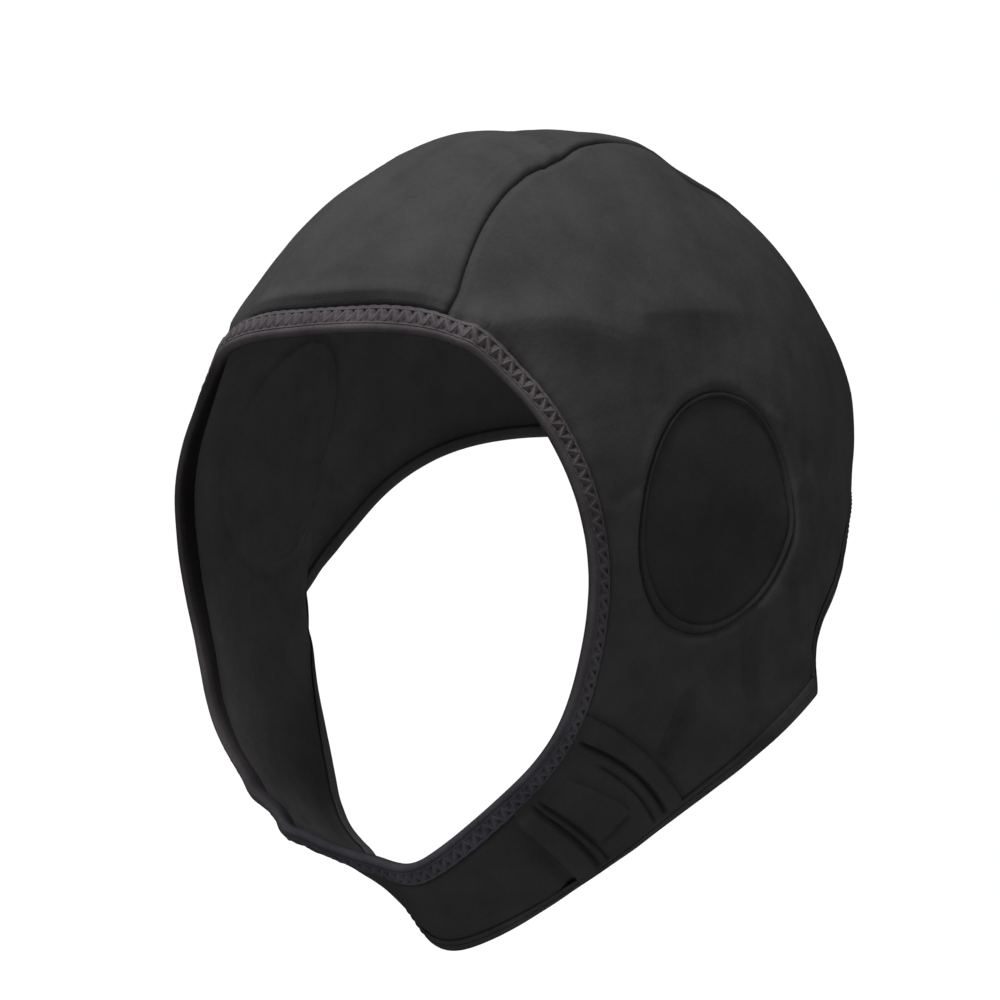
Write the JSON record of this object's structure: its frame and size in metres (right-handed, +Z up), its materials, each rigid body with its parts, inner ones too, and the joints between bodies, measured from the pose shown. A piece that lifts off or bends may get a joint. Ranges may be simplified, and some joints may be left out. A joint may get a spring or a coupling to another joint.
{
  "type": "wrestling hair cover",
  "caption": "Close-fitting hood of black stretch cloth with a wide bound face opening, oval ear panels and a chin strap that fastens on the left cheek.",
  "frame": {"origin": "inside of the crown, where it sits on top of the head", "axes": "+Z up, -Y out of the face opening, +X towards the wearer's left, where the chin strap fastens"},
  "size_m": [0.1754, 0.1746, 0.2061],
  "materials": {
    "panel_cloth": "smooth stretch knit with a soft sheen",
    "ear_cloth": "thin matt stretch knit",
    "binding": "ribbed elastic with cover stitching",
    "strap_cloth": "doubled stretch knit, stitched",
    "hook_pad": "hook-and-loop pile"
  },
  "bodies": {
    "root": {"centre_panel": "panel_cloth", "left_side_panel": "panel_cloth", "right_side_panel": "panel_cloth", "left_ear_panel": "ear_cloth", "right_ear_panel": "ear_cloth", "face_binding": "binding", "neck_binding": "binding", "chin_strap": "strap_cloth", "closure_tab": "strap_cloth", "hook_pad": "hook_pad"}
  },
  "joints": []
}
